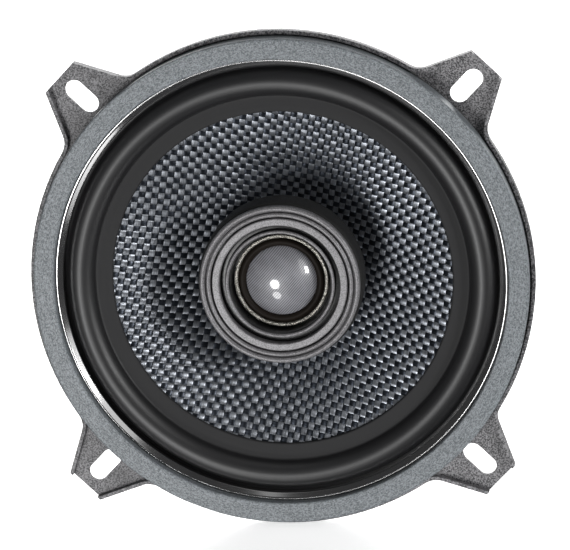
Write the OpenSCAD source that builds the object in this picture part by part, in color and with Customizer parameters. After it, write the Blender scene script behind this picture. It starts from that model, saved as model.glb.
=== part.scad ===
// Coaxial car speaker, 130 mm class: a stamped basket with four ears, a woven cone on a
// half-roll surround, a ferrite motor, and a soft-dome tweeter on a post through the pole.
//
// Inside the modules the axis of the speaker is z, towards the listener, with y up.
// z = 0 is the rear seating face of the flange. facing_front() turns each finished
// sub-part so that the model faces -Y with +Z up.

/* [Flange and ears] */
// Outer radius of the rim
rim_r = 65; // [64:0.5:66]
// Thickness of the basket's steel sheet
sheet_t = 1.2; // [1:0.1:1.2]
// Height of the forward-turned lip above the flange
lip_h = 2; // [1.5:0.1:2.5]
// Thickness of the lip
lip_t = 0.9; // [0.8:0.1:1]
// Distance from the axis to the flat tip of an ear
ear_tip_r = 76.9; // [76:0.1:78]
// Half the width of an ear at its tip
ear_tip_w = 5.3; // [5:0.1:5.6]
// Radius of the hollow fillet where an ear meets the rim
ear_fillet_r = 5; // [4:0.5:5]
// Angle from the middle of an ear to the end of its fillet
ear_fillet_a = 12.5; // [12:0.1:13.5]
// Distance from the axis to the middle of a screw slot
slot_r = 69.4; // [69:0.1:70]
// Width of a screw slot
slot_w = 4.9; // [4.5:0.1:5]
// Length of a screw slot, end to end
slot_l = 10; // [8:0.5:10]

/* [Basket] */
// Radius of the cylindrical wall that drops into the cut-out
wall_r = 57; // [56.8:0.1:57.2]
// Depth of the wall behind the flange
wall_d = 9; // [8.5:0.1:9.5]
// Width of a plain spoke
spoke_w = 12; // [10:1:14]
// Width of the spoke that carries the terminals
terminal_spoke_w = 26; // [26:1:28]
// Depth of the spider's landing behind the flange
landing_d = 22.8; // [22.4:0.1:23]

/* [Front ring] */
// Outer radius of the front gasket
gasket_ro = 63.6; // [63.2:0.1:63.8]
// Inner radius of the front gasket
gasket_ri = 58.3; // [58.3:0.1:59]
// Height of the gasket's face in front of the flange seating face
gasket_z = 7.7; // [7:0.1:8]

/* [Cone and surround] */
// Radius where the visible cone meets the surround
cone_r = 43.8; // [43.5:0.1:44]
// Thickness of the woven cone
cone_t = 0.6; // [0.5:0.1:0.7]
// Depth of the neck of the cone behind the flange
neck_d = 16.5; // [16:0.1:17]
// Middle radius of the surround's half roll
roll_r = 51.9; // [51.8:0.1:52]
// Radius of the half roll's own section
roll_h = 3.6; // [3.4:0.1:3.6]
// Thickness of the rubber surround
rubber_t = 0.7; // [0.6:0.1:0.8]

/* [Woofer motor] */
// Inner radius of the voice coil former
coil_r = 12.7; // [12.65:0.05:12.75]
// Outer radius of the ferrite ring
ferrite_r = 40; // [38:0.5:40]
// Thickness of the ferrite ring
ferrite_t = 12; // [11:0.5:13]
// Outer radius of the steel plates
plate_r = 36; // [35.5:0.1:36]
// Thickness of each steel plate
plate_t = 4; // [4:0.1:4.2]

/* [Tweeter] */
// Radius of the tweeter's outer trim ring
bezel_r = 20.6; // [20.4:0.1:20.6]
// Height of the trim rings in front of the flange seating face
bezel_z = 8.2; // [8:0.1:8.4]
// Radius of the silk dome
dome_r = 9.2; // [9.1:0.1:9.2]
// Height of the silk dome
dome_h = 3.6; // [3.4:0.1:4]

/* [Hidden] */
$fn = 96;

glue = 0.1;                       // glue line between round parts of one assembly
past = 1;                         // how far a cutting tool runs past a face
edge_c = 0.3;                     // bevel on the basket's pressed edges
plate_c = 0.5;                    // bevel on the steel plates' edges
small_fn = 32;                    // sides of rivets, holes and leads' joints
rim_fn = 180;                     // sides of the rim
joint_gap = 0.05;                 // between a lead's end and the joint it is soldered to
fit = 0.02;                       // between parts that lie one on the other
gasket_c = 0.4;                   // bevel on the gasket's outer edges

// Colours
c_black = [0.07, 0.07, 0.08];
c_rubber = [0.12, 0.12, 0.13];
c_slate = [0.42, 0.45, 0.50];
c_steel = [0.70, 0.72, 0.74];
c_ferrite = [0.20, 0.20, 0.21];
c_satin = [0.55, 0.56, 0.58];
c_copper = [0.72, 0.40, 0.20];
c_spider = [0.80, 0.68, 0.35];
c_board = [0.45, 0.28, 0.14];
c_solder = [0.80, 0.80, 0.82];

// Heights along the axis, from the seating face of the flange
flange_z = sheet_t;
lip_z = flange_z + lip_h;
surround_z = flange_z + rubber_t; // front of the surround's flat edges
landing_z = -landing_d;
tray_d = 6.4;                     // from the landing to the back of the basket's cup
cup_z = landing_z - tray_d;       // back of the basket, front of the top plate
top_plate_z = cup_z - plate_t;
ferrite_z = top_plate_z - ferrite_t;
back_z = ferrite_z - plate_t;

// Radii of the basket behind the wall
wall_ri = wall_r - sheet_t;
ledge_ri = 49.5;
landing_ro = 35;
landing_ri = 28.5;
cup_hole_r = 15.5;

// Middle of the sheet at the two ends of a spoke: [radius, height]
spoke_foot = [34, landing_z - sheet_t / 2];
spoke_head = [50.6, -wall_d - sheet_t / 2];
spoke_a = atan2(spoke_head[1] - spoke_foot[1], spoke_head[0] - spoke_foot[0]);
spoke_l = norm(spoke_head - spoke_foot);
spoke_rib_h = 2.2;
rib_start = 1;                    // from the foot of a spoke to its ribs
rib_short = 3.4;                  // how much shorter a rib is than its spoke
terminal_spoke = 90;              // direction of the wide spoke

// Motor radii
pole_r = coil_r - 0.35;
pole_foot_r = 17;
pole_foot_h = 4;
ferrite_ri = 18.5;
ferrite_c = 0.6;
coil_tail = 0.4;                  // bare former behind and in front of the winding
former_t = 0.2;
former_ro = coil_r + former_t;
winding_t = 0.5;
gap_r = former_ro + winding_t + 0.5;
winding_l = 9.8;
post_bore_r = 5;
recess_r = 8.5;
recess_d = 5.2;
wire_groove_w = 5;
wire_groove_d = 2.4;

// Spider and collar
collar_t = 0.3;
spider_ri = former_ro + collar_t + 2 * glue;
spider_ro = 33;
spider_t = 0.4;
spider_wave = 0.9;                // half the height of a corrugation
spider_waves = 3;
spider_flat_r = landing_ri + 0.3; // where the waves end and the glued edge starts
spider_steps = 72;

// Tweeter stack
housing_r = 21.2;
housing_z = 6;
housing_back_z = -7.5;
housing_floor_z = -6;
boss_r = 8.5;
ring_seat_z = 1.6;                // where the diaphragm ring rests
ring_top_z = ring_seat_z + 0.8;
clamp_z = ring_top_z + 0.15;
pot_r = 12.2;
pot_ri = 10;
pot_z = -4.3;
pot_floor_z = -3;
pole_disc_z = 0.2;
disc_r = 8.5;
tweeter_coil_r = 8.85;
tweeter_former_t = 0.1;
tweeter_coil_z = [-0.7, 1.5];
housing_c = 0.6;
housing_back_r = 15.5;
housing_side_z = -3;
groove_d = 1.5;                   // depth of the groove between the two trim rings
face_ring = [15.5, 17.4];
face_ring_z = 7.9;
face_seat_z = 5.3;                // where the face ring rests on the throat
throat_ri = 12.4;
throat_lip = [13.2, 14.1];
throat_lip_z = 6.7;
dome_clamp = [11.1, 12.3];
dome_clamp_t = 0.7;
dome_fn = 128;

// Terminals, in the spoke's own frame: x up the spoke, y across it, -z outwards
board = [13, 22, 1.6];
board_x = 5.5;
board_z = -sheet_t / 2 - board[2];
tab_t = 0.8;
tab_y = 6;
tab_foot = 8;
tab_blade = 9;
wide_tab_w = 6.3;
narrow_tab_w = 4.8;
tab_x = 7;
solder_h = 1;
solder_x = 8.4;
solder_y = [4.6, 7.4];            // from the middle of the board: tweeter side, woofer side

// Capacitor, lying across the front rim of the ferrite
cap_r = 4;
cap_l = 18;
cap_roll = 0.5;                   // rolled rim at each end of the can
cap_sleeve_t = 0.3;
adhesive = [10, 3.6, 2.6];
cap_y = 40.6;
cap_z = top_plate_z + cap_r + 0.1;
sleeve_y = 43;
sleeve_z = [-39, -33];
sleeve_x = 12;
sleeve_r = 0.9;

// Leads: radius, and routes of hand-placed points
lead_r = 0.5;
leg_r = 0.35;
tinsel_r = 0.5;
eyelet_at = [11, 25.5];

// Tweeter lead from the diaphragm ring to the foot of the ferrite, right-hand side
lead_inner = [
    [14.5, 0, 1.4], [14.5, 0, -1], [14, 0, -3.6], [12, 0, -5], [8, 0, -5.2], [3.2, 0, -5.2],
    [1.6, 0, -6.2], [1, 0, -10], [1, 0, -16], [1, 0, -22], [1, 0, -28], [1, 0, -34],
    [1, 0, -40], [1, 0, -46], [1, 0.6, -47.6], [1.1, 2.2, -48.3], [1.2, 5, -48.3],
    [1.2, 12, -48.3], [1.2, 20, -48.3], [1.2, 28, -48.3], [1.2, 34, -48.2], [1.4, 38.6, -47.4],
    [1.6, 41.8, -45],
];
// The rest of the positive lead, to the sleeve beside the capacitor
lead_to_sleeve = [
    [4, 42.6, -43], [8, 42.8, -42.2], [11.2, 43, -41.4], [12, 43, -40.2], [12, 43, -39.1],
];
// The rest of the negative lead, over the capacitor to its tab
lead_to_tab = [
    [-1.6, 42.4, -41], [-1.6, 42.8, -37], [-1, 45, -33.4], [1, 46.2, -29], [3, 46, -25.6],
    [4.4, 44.4, -23.4],
];
// Capacitor leg from its left end to the positive tab, and from its right end to the sleeve
leg_to_tab = [
    [-9.1, 40.6, -29.1], [-10.4, 40.7, -29], [-11.2, 41.8, -27.6], [-10.4, 44.2, -25],
    [-7.4, 45.2, -23.8], [-5.4, 44.6, -23.5],
];
leg_to_sleeve = [
    [9.1, 40.6, -29.1], [10.4, 40.7, -29], [11.6, 41.8, -29.6], [12, 42.8, -31],
    [12, 43, -32], [12, 43, -32.9],
];
// Woofer lead from its tab round the edge of the spoke to the back of the cone
tinsel_route = [
    [8.6, 44, -23.2], [11, 44.8, -23.6], [13.8, 43.8, -22.8], [15.6, 41, -20.6],
    [16.2, 37, -17.6], [15.4, 33, -15.6], [13.4, 29.4, -14], [11.6, 26.8, -12.8],
];

// Rivets, clamp bead, neck and other worked-out sizes
rivet_ring_r = 21.5;
rivet_r = 1.8;
rivet_blind = 0.5;                // steel left under a plate rivet
board_rivet_x = 15;
board_rivet_r = 1.5;
tab_rivet_x = 11.8;
tab_rivet_r = 1;
tab_clear_r = 3;                  // hole in the spoke round a tab's rivet
latch_r = 0.9;                    // dimple hole near the end of a blade
latch_d = 2;
clamp_ri = 56.4;
clamp_bead_r = 0.9;
clamp_h = 3.6;
pole_top_z = cup_z + 0.4;
post_hole_r = 2.2;
post_thread_r = 4;
post_flange_r = 8;
recess_z = back_z + recess_d;
washer_t = 0.8;
nut_t = 2.6;
nut_r = 6.4;
washer_r = 7.4;
post_end_z = recess_z - washer_t - nut_t - glue;
boss_z = -10.5;
housing_ri = 18.8;
shelf_ri = 15.6;
inner_trim = [17.8, 18.9];
outer_trim = [19.2, bezel_r];
neck_r = former_ro + glue;
cone_edge_z = flange_z - 0.6;
cone_bow = 0.5;
cone_steps = 16;
cone_rim_r = 47.4;
spider_radii = [for (i = [0:spider_steps]) spider_ri + (spider_ro - spider_ri) * i / spider_steps];
winding_z = (top_plate_z + cup_z - winding_l) / 2;
former_top_z = -neck_d + 1.6;
eyelet_h = 1.4;
eyelet_r = 1.9;
eyelet_z = cone_front(norm(eyelet_at)) - 3.1;
dome_t = 0.2;
dome_z = ring_top_z;

// ---------- helpers ----------

// Turns a sub-part from its working frame to face -Y with +Z up
module facing_front() {
    rotate([90, 0, 0]) children();
}

// Ring between two radii and two heights, with its outer corners cut by c
module ring(ri, ro, z0, z1, c = 0) {
    rotate_extrude()
        polygon([
            [ri, z0], [ro - c, z0], [ro, z0 + c], [ro, z1 - c], [ro - c, z1], [ri, z1],
        ]);
}

// Tool for a round hole through a sheet that starts at z = 0
module through(thickness, r) {
    translate([0, 0, -past]) cylinder(h = thickness + 2 * past, r = r, $fn = small_fn);
}

// Round bar or rivet shank standing on z = 0, and a rivet head that narrows from r1 to r2
module bar(h, r) {
    cylinder(h = h, r = r, $fn = small_fn);
}
module head(h, r1, r2) {
    cylinder(h = h, r1 = r1, r2 = r2, $fn = small_fn);
}

// Frame on the sheet of a spoke: x runs up the spoke, y across it, -z outwards
module on_spoke(angle) {
    rotate([0, 0, angle])
        translate([spoke_foot[0], 0, spoke_foot[1]])
            rotate([0, -spoke_a, 0])
                children();
}

// A point in a spoke's frame, for the wide spoke at the top, in the working frame
function from_spoke(p) = [
    -p[1],
    spoke_foot[0] + p[0] * cos(spoke_a) - p[2] * sin(spoke_a),
    spoke_foot[1] + p[0] * sin(spoke_a) + p[2] * cos(spoke_a),
];

// The end of a lead at a soldered joint, standing square on its flat top, as two points from
// the lead's side: side 1 is the positive tab, and which 0 is the tweeter's joint on it
function tab_joint(side, which) = [for (rise = [lead_r * 2, joint_gap])
    from_spoke([solder_x, side * solder_y[which], board_z - tab_t - solder_h - rise])];

function reversed(list) = [for (i = [len(list) - 1:-1:0]) list[i]];
function unit(v) = v / norm(v);
function mirror_x(points) = [for (p = points) [-p[0], p[1], p[2]]];

// Points on a smooth curve through a route, n for each stretch
function curve_point(a, b, c, d, t) =
    0.5 * (2 * b + (c - a) * t + (2 * a - 5 * b + 4 * c - d) * t * t
        + (3 * b - a - 3 * c + d) * t * t * t);
function smooth(p, n) = let (last = len(p) - 1) concat(
    [for (i = [0:last - 1], k = [0:n - 1])
        curve_point(p[max(i - 1, 0)], p[i], p[i + 1], p[min(i + 2, last)], k / n)],
    [p[last]]
);
function tangent(p, i) = unit(p[min(i + 1, len(p) - 1)] - p[max(i - 1, 0)]);
function square_to(n, t) = unit(n - (n * t) * t);
// One direction across the path at each point, carried along without twisting
function carried(p, i, n) =
    i == len(p) ? [] : let (m = square_to(n, tangent(p, i))) concat([m], carried(p, i + 1, m));

// Tube of radius r along the points, closed at both ends
module tube(p, r, sides = 8) {
    across = carried(p, 0, abs(tangent(p, 0)[0]) > 0.9 ? [0, 1, 0] : [1, 0, 0]);
    rings = len(p);
    points = [
        for (i = [0:rings - 1], k = [0:sides - 1])
            let (t = tangent(p, i), u = across[i], v = cross(t, u), a = 360 * k / sides)
                p[i] + r * (cos(a) * u + sin(a) * v)
    ];
    walls = [
        for (i = [0:rings - 2], k = [0:sides - 1])
            let (n = (k + 1) % sides)
                [i * sides + n, i * sides + k, (i + 1) * sides + k, (i + 1) * sides + n]
    ];
    first = [for (k = [0:sides - 1]) k];
    last = [for (k = [sides - 1:-1:0]) (rings - 1) * sides + k];
    polyhedron(points, concat(walls, [first], [last]));
}

// ---------- basket ----------

// Half of an ear above the rim circle, drawn in by inset; the tip stays open when inset > 0
module half_ear(inset) {
    rim = [cos(ear_fillet_a), sin(ear_fillet_a)];
    centre = (rim_r + ear_fillet_r) * rim;
    tip = [ear_tip_r, ear_tip_w];
    away = centre - tip;
    turn = asin(ear_fillet_r / norm(away));
    lean = atan2(away[1], away[0]) + turn;
    side = [cos(lean), sin(lean)];                       // from the tip along the edge
    touch = tip + side * sqrt(away * away - ear_fillet_r * ear_fillet_r);
    out = unit(touch - centre);
    fillet = ear_fillet_r + inset;
    edge = centre + out * fillet;
    beyond_tip = 16;                                     // far enough to leave the tip open
    end = inset > 0 ? edge - side * beyond_tip : tip;
    difference() {
        polygon([[0, 0], (rim_r - inset) * rim, centre, edge, end, [end[0], 0]]);
        translate(centre) circle(fillet);
    }
}

// Outline of the flange with its four ears, drawn in by inset
module flange_outline(inset = 0) {
    circle(rim_r - inset, $fn = rim_fn);
    for (a = [45:90:315], side = [0, 1])
        rotate(a) mirror([0, side]) half_ear(inset);
}

module screw_slot() {
    straight = slot_l - slot_w;
    for (s = [-1, 1])
        translate([slot_r + s * straight / 2, 0, 0]) through(sheet_t, slot_w / 2);
    translate([slot_r - straight / 2, -slot_w / 2, -past])
        cube([straight, slot_w, sheet_t + 2 * past]);
}

// Flat bar from the landing to the ledge, with both edges turned back as ribs
module spoke(width) {
    translate([0, -width / 2, -sheet_t / 2]) cube([spoke_l, width, sheet_t]);
    for (s = [0, 1])
        mirror([0, s, 0])
            translate([rib_start, width / 2 - sheet_t, -sheet_t / 2 - spoke_rib_h])
                cube([spoke_l - rib_short, sheet_t, spoke_rib_h + sheet_t / 2]);
}

module basket_frame() facing_front() color(c_black) difference() {
    union() {
        linear_extrude(sheet_t) difference() {
            flange_outline();
            circle(wall_ri, $fn = rim_fn);
        }
        translate([0, 0, sheet_t / 2]) linear_extrude(lip_z - sheet_t / 2) difference() {
            flange_outline();
            flange_outline(lip_t);
        }
        ring(wall_ri, wall_r, -wall_d - sheet_t, sheet_t / 2);
        ring(ledge_ri, wall_r, -wall_d - sheet_t, -wall_d, edge_c);
        for (a = [30:60:330])
            on_spoke(a) spoke(a == terminal_spoke ? terminal_spoke_w : spoke_w);
        ring(landing_ri - sheet_t, landing_ro, landing_z - sheet_t, landing_z, edge_c);
        ring(landing_ri - sheet_t, landing_ri, cup_z, landing_z);
        ring(cup_hole_r, landing_ri, cup_z, cup_z + sheet_t, edge_c);
    }
    for (a = [45:90:315]) rotate([0, 0, a]) screw_slot();
    at_plate_rivets() translate([0, 0, cup_z]) through(sheet_t, rivet_r);
    on_spoke(terminal_spoke) {
        translate([board_rivet_x, 0, -sheet_t / 2]) through(sheet_t, board_rivet_r);
        for (s = [-1, 1])
            translate([tab_rivet_x, s * tab_y, -sheet_t / 2]) through(sheet_t, tab_clear_r);
    }
}

module front_gasket() facing_front() color(c_slate)
    ring(gasket_ri, gasket_ro, surround_z, gasket_z, gasket_c);

// Glossy bead that holds the surround's edge down, inside the gasket
module surround_clamp_ring() facing_front() color(c_black) rotate_extrude() {
    translate([clamp_ri, surround_z]) square([2 * clamp_bead_r, clamp_h - clamp_bead_r]);
    translate([clamp_ri + clamp_bead_r, surround_z + clamp_h - clamp_bead_r])
        circle(clamp_bead_r, $fn = small_fn);
}

// ---------- motor ----------

module at_plate_rivets() {
    for (a = [0:90:270]) rotate([0, 0, a]) translate([rivet_ring_r, 0, 0]) children();
}

module plate_rivets() facing_front() color(c_steel) at_plate_rivets() {
    foot_z = top_plate_z + rivet_blind;
    translate([0, 0, foot_z + glue]) bar(cup_z + sheet_t - foot_z - glue, rivet_r - glue / 2);
    translate([0, 0, cup_z + sheet_t]) head(0.9, 3, 2.4);
}

module top_plate() facing_front() color(c_steel) difference() {
    ring(gap_r, plate_r, top_plate_z, cup_z, plate_c);
    at_plate_rivets() translate([0, 0, top_plate_z + rivet_blind]) bar(plate_t, rivet_r);
}

module ferrite_magnet() facing_front() color(c_ferrite)
    ring(ferrite_ri, ferrite_r, ferrite_z, top_plate_z, ferrite_c);

// Back plate and pole in one piece, bored for the tweeter's post
module back_plate_pole() facing_front() color(c_steel) difference() {
    rotate_extrude() polygon([
        [post_bore_r, back_z], [plate_r - plate_c, back_z], [plate_r, back_z + plate_c],
        [plate_r, ferrite_z - plate_c], [plate_r - plate_c, ferrite_z], [pole_foot_r, ferrite_z],
        [pole_r, ferrite_z + pole_foot_h], [pole_r, pole_top_z - plate_c],
        [pole_r - plate_c, pole_top_z], [post_bore_r, pole_top_z],
    ]);
    translate([0, 0, back_z - past]) cylinder(h = recess_d + past, r = recess_r);
    translate([-wire_groove_w / 2, 0, back_z - past])
        cube([wire_groove_w, plate_r + past, wire_groove_d + past]);
}

// ---------- terminals and crossover ----------

module terminal_board() facing_front() color(c_board) on_spoke(terminal_spoke) difference() {
    translate([board_x, -board[1] / 2, board_z]) cube(board);
    translate([board_rivet_x, 0, board_z]) through(board[2], board_rivet_r);
    for (s = [-1, 1])
        translate([tab_rivet_x, s * tab_y, board_z]) through(board[2], tab_rivet_r);
}

module terminal_board_rivet() facing_front() color(c_steel) on_spoke(terminal_spoke) {
    head_h = 0.8;
    tail_h = 0.7;
    translate([board_rivet_x, 0, board_z]) bar(board[2] + sheet_t, board_rivet_r - glue / 2);
    translate([board_rivet_x, 0, board_z - head_h]) head(head_h, 1.8, 2.6);
    translate([board_rivet_x, 0, sheet_t / 2]) head(tail_h, 2.6, 1.9);
}

// Foot riveted flat on the board, with a blade standing up from its upper end
module tab(width, side) {
    on_spoke(terminal_spoke) difference() {
        translate([tab_x, side * tab_y - width / 2, board_z - tab_t]) {
            cube([tab_foot, width, tab_t]);
            translate([tab_foot - tab_t, 0, -tab_blade]) cube([tab_t, width, tab_blade + tab_t]);
        }
        translate([tab_rivet_x, side * tab_y, board_z - tab_t]) through(tab_t, tab_rivet_r);
        translate([tab_x + tab_foot - tab_t, side * tab_y, board_z - tab_blade + latch_d])
            rotate([0, 90, 0]) through(tab_t, latch_r);
    }
}

module positive_tab() facing_front() color(c_solder) tab(wide_tab_w, 1);
module negative_tab() facing_front() color(c_solder) tab(narrow_tab_w, -1);

module tab_rivets() facing_front() color(c_steel) on_spoke(terminal_spoke)
    for (s = [-1, 1]) translate([tab_rivet_x, s * tab_y, 0]) {
        head_h = 0.6;
        translate([0, 0, board_z - tab_t]) bar(board[2] + tab_t, tab_rivet_r - glue / 2);
        translate([0, 0, board_z - tab_t - head_h]) head(head_h, 1.3, 1.9);
        translate([0, 0, -sheet_t / 2]) head(head_h, 1.9, 1.3);
    }

module solder_joints() facing_front() color(c_solder) on_spoke(terminal_spoke)
    for (s = [-1, 1], y = solder_y)
        translate([solder_x, s * y, board_z - tab_t - solder_h])
            head(solder_h, lead_r + 0.1, 1.1);

module capacitor_at() {
    translate([0, cap_y, cap_z]) rotate([0, 90, 0]) children();
}

// Aluminium can, with its rim rolled at both ends of the sleeve
module crossover_capacitor() facing_front() color(c_steel) capacitor_at() {
    cylinder(h = cap_l - 2 * cap_roll, r = cap_r - cap_sleeve_t, center = true);
    cylinder(h = cap_l, r = cap_r - 1, center = true);
}

module capacitor_sleeve() facing_front() color([0.10, 0.14, 0.30]) capacitor_at() difference() {
    cylinder(h = cap_l - cap_roll, r = cap_r, center = true);
    cylinder(h = cap_l + past, r = cap_r - cap_sleeve_t, center = true);
}

// Bed of adhesive between the capacitor and the ferrite's front rim
module capacitor_adhesive() facing_front() color([0.86, 0.82, 0.66]) difference() {
    translate([-adhesive[0] / 2, plate_r + glue, top_plate_z]) cube(adhesive);
    capacitor_at() cylinder(h = cap_l + past, r = cap_r + fit, center = true);
    translate([0, 0, top_plate_z - past]) cylinder(h = plate_t + past, r = plate_r + glue);
}

module capacitor_leads() facing_front() color(c_solder) {
    tube(smooth(concat(leg_to_tab, tab_joint(1, 0)), 3), leg_r);
    tube(smooth(leg_to_sleeve, 3), leg_r);
}

// Shrink sleeve over the joint of the capacitor's leg and the positive tweeter lead
module lead_sleeve() facing_front() color(c_black)
    translate([sleeve_x, sleeve_y, sleeve_z[0]])
        bar(sleeve_z[1] - sleeve_z[0], sleeve_r);

module tweeter_leads() facing_front() {
    color([0.55, 0.08, 0.07]) tube(smooth(concat(lead_inner, lead_to_sleeve), 2), lead_r);
    color(c_black)
        tube(smooth(concat(mirror_x(lead_inner), lead_to_tab, tab_joint(-1, 0)), 2), lead_r);
}

// ---------- tweeter ----------

// Hollow post from the recess in the back plate to the floor of the tweeter
module tweeter_post() facing_front() color(c_steel) rotate_extrude() {
    shank_r = post_bore_r - glue;
    neck_ro = post_bore_r + 0.8;
    flange_t = 1.5;
    thread_c = 0.4;
    mouth = 1.4;                  // countersink where the leads come out
    polygon([
        [post_hole_r, post_end_z], [post_thread_r - thread_c, post_end_z],
        [post_thread_r, post_end_z + thread_c], [post_thread_r, recess_z], [shank_r, recess_z],
        [shank_r, pole_top_z], [post_flange_r, pole_top_z],
        [post_flange_r, pole_top_z + flange_t], [neck_ro, pole_top_z + flange_t + 0.5],
        [neck_ro, boss_z], [shank_r, boss_z],
        [shank_r, housing_floor_z], [post_hole_r + mouth, housing_floor_z],
        [post_hole_r, housing_floor_z - mouth],
    ]);
}

module post_washer() facing_front() color(c_steel)
    ring(post_thread_r + 0.15, washer_r, recess_z - washer_t, recess_z, 0.1);

module post_nut() facing_front() color(c_steel) difference() {
    translate([0, 0, recess_z - washer_t - nut_t]) cylinder(h = nut_t, r = nut_r, $fn = 6);
    translate([0, 0, back_z]) cylinder(h = recess_d, r = post_thread_r + glue);
}

// Moulded cup: outer wall, shelf for the diaphragm ring, floor, and a boss for the post
module tweeter_housing() facing_front() color(c_black) rotate_extrude() polygon([
    [post_bore_r, boss_z], [boss_r, boss_z], [boss_r, housing_back_z],
    [housing_back_r, housing_back_z], [housing_r, housing_side_z],
    [housing_r, housing_z - housing_c], [housing_r - housing_c, housing_z],
    [housing_ri, housing_z], [housing_ri, ring_seat_z],
    [shelf_ri, ring_seat_z], [shelf_ri, housing_floor_z], [post_bore_r, housing_floor_z],
]);

// Two rounded trim rings on one base, with a groove between them
module tweeter_bezel() facing_front() color(c_satin) rotate_extrude() {
    base_z = bezel_z - groove_d;
    polygon([
        [inner_trim[0], ring_top_z], [housing_ri - glue, ring_top_z],
        [housing_ri - glue, housing_z + glue], [bezel_r, housing_z + glue],
        [bezel_r, base_z], [inner_trim[0], base_z],
    ]);
    for (trim = [inner_trim, outer_trim]) {
        r = (trim[1] - trim[0]) / 2;
        translate([trim[0], base_z - glue]) square([2 * r, bezel_z - r - base_z + glue]);
        translate([trim[0] + r, bezel_z - r]) circle(r, $fn = small_fn);
    }
}

// Flat satin ring inside the trim rings
module tweeter_face_ring() facing_front() color(c_satin)
    ring(face_ring[0], face_ring[1], face_seat_z + glue, face_ring_z, 0.25);

// Recessed throat round the dome, with a rounded front edge
module tweeter_throat() facing_front() color(c_black) rotate_extrude() {
    polygon([
        [throat_ri, clamp_z], [face_ring[1], clamp_z], [face_ring[1], face_seat_z],
        [throat_lip[1], face_seat_z], [throat_lip[1], throat_lip_z], [throat_lip[0], throat_lip_z],
    ]);
    translate([(throat_lip[0] + throat_lip[1]) / 2, throat_lip_z])
        circle((throat_lip[1] - throat_lip[0]) / 2, $fn = small_fn);
}

module dome_clamp_ring() facing_front() color([0.50, 0.44, 0.36])
    ring(dome_clamp[0], dome_clamp[1], clamp_z, clamp_z + dome_clamp_t, 0.2);

// Plastic ring that carries the diaphragm and is glued on the pot
module diaphragm_ring() facing_front() color(c_black)
    ring(pot_ri, housing_ri - glue, ring_seat_z, ring_top_z);

module tweeter_pot() facing_front() color(c_steel) rotate_extrude() polygon([
    [0, pot_z], [pot_r - plate_c, pot_z], [pot_r, pot_z + plate_c], [pot_r, ring_seat_z],
    [pot_ri, ring_seat_z], [pot_ri, pot_floor_z], [0, pot_floor_z],
]);

module tweeter_magnet() facing_front() color(c_steel)
    translate([0, 0, pot_floor_z]) cylinder(h = pole_disc_z - pot_floor_z, r = disc_r - 0.5);

module tweeter_pole_disc() facing_front() color(c_steel)
    translate([0, 0, pole_disc_z]) cylinder(h = ring_seat_z - pole_disc_z, r = disc_r);

// ---------- moving parts of the woofer ----------

// Height of the cone's front surface at radius r, bowed forwards by cone_bow
function cone_front(r) =
    let (t = (r - former_ro) / (cone_r - former_ro))
        -neck_d + (cone_edge_z + neck_d) * t + cone_bow * 4 * t * (1 - t);

module woofer_cone() facing_front() color([0.25, 0.26, 0.28]) rotate_extrude() polygon(concat(
    [for (i = [0:cone_steps]) let (r = neck_r + (cone_r - neck_r) * i / cone_steps) [r, cone_front(r)]],
    [[cone_rim_r, flange_z - glue], [cone_rim_r, flange_z - glue - cone_t]],
    [for (i = [cone_steps:-1:0]) let (r = neck_r + (cone_r - neck_r) * i / cone_steps)
        [r, cone_front(r) - cone_t * 1.15]]
));

// Rubber surround: flat inner and outer edges joined by a half roll
module surround() facing_front() color(c_rubber) rotate_extrude() {
    translate([cone_r, flange_z]) square([roll_r - roll_h + rubber_t - cone_r, rubber_t]);
    translate([roll_r + roll_h - rubber_t, flange_z])
        square([gasket_ro - roll_r - roll_h + rubber_t, rubber_t]);
    translate([roll_r, flange_z + rubber_t]) difference() {
        circle(roll_h);
        circle(roll_h - rubber_t);
        translate([-2 * roll_h, -4 * roll_h]) square(4 * roll_h);
    }
}

// Height of the middle of the spider at radius r: a flat edge, then whole waves to the neck
function spider_mid(r) = landing_z + spider_t / 2 + (r > spider_flat_r ? 0
    : spider_wave * sin(360 * spider_waves * (spider_flat_r - r) / (spider_flat_r - spider_ri)));

module spider() facing_front() color(c_spider) rotate_extrude() polygon(concat(
    [for (r = spider_radii) [r, spider_mid(r) - spider_t / 2]],
    [for (r = reversed(spider_radii)) [r, spider_mid(r) + spider_t / 2]]
));

module voice_coil_former() facing_front() color([0.75, 0.62, 0.38])
    ring(coil_r, former_ro, winding_z - coil_tail, former_top_z);

module coil_collar() facing_front() color([0.62, 0.50, 0.32])
    ring(former_ro + glue / 2, former_ro + collar_t, winding_z + winding_l + coil_tail,
        -neck_d - cone_t - coil_tail);

module voice_coil_winding() facing_front() color(c_copper)
    ring(former_ro + fit, former_ro + winding_t, winding_z, winding_z + winding_l);

// Two eyelets glued behind the cone, where the woofer leads arrive
module lead_eyelets() facing_front() color(c_black)
    for (s = [-1, 1])
        translate([s * eyelet_at[0], eyelet_at[1], eyelet_z]) {
            bar(eyelet_h, eyelet_r - 0.6);
            bar(0.6, eyelet_r);
        }

module tinsel_leads() facing_front() color([0.62, 0.42, 0.26])
    for (s = [-1, 1]) {
        route = s < 0 ? mirror_x(tinsel_route) : tinsel_route;
        eyelet = [for (gap = [2 * tinsel_r, joint_gap])
            [s * eyelet_at[0], eyelet_at[1], eyelet_z - gap]];
        tube(smooth(concat(reversed(tab_joint(-s, 1)), route, eyelet), 3), tinsel_r);
    }

// ---------- moving parts of the tweeter ----------

module tweeter_dome() facing_front() color([0.72, 0.72, 0.74]) {
    sphere_r = (dome_r * dome_r + dome_h * dome_h) / (2 * dome_h);
    rotate_extrude() intersection() {
        translate([0, dome_z + dome_h - sphere_r]) difference() {
            circle(sphere_r, $fn = dome_fn);
            circle(sphere_r - dome_t, $fn = dome_fn);
        }
        translate([0, dome_z]) square([dome_r + 1, dome_h + 1]);
    }
}

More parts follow.
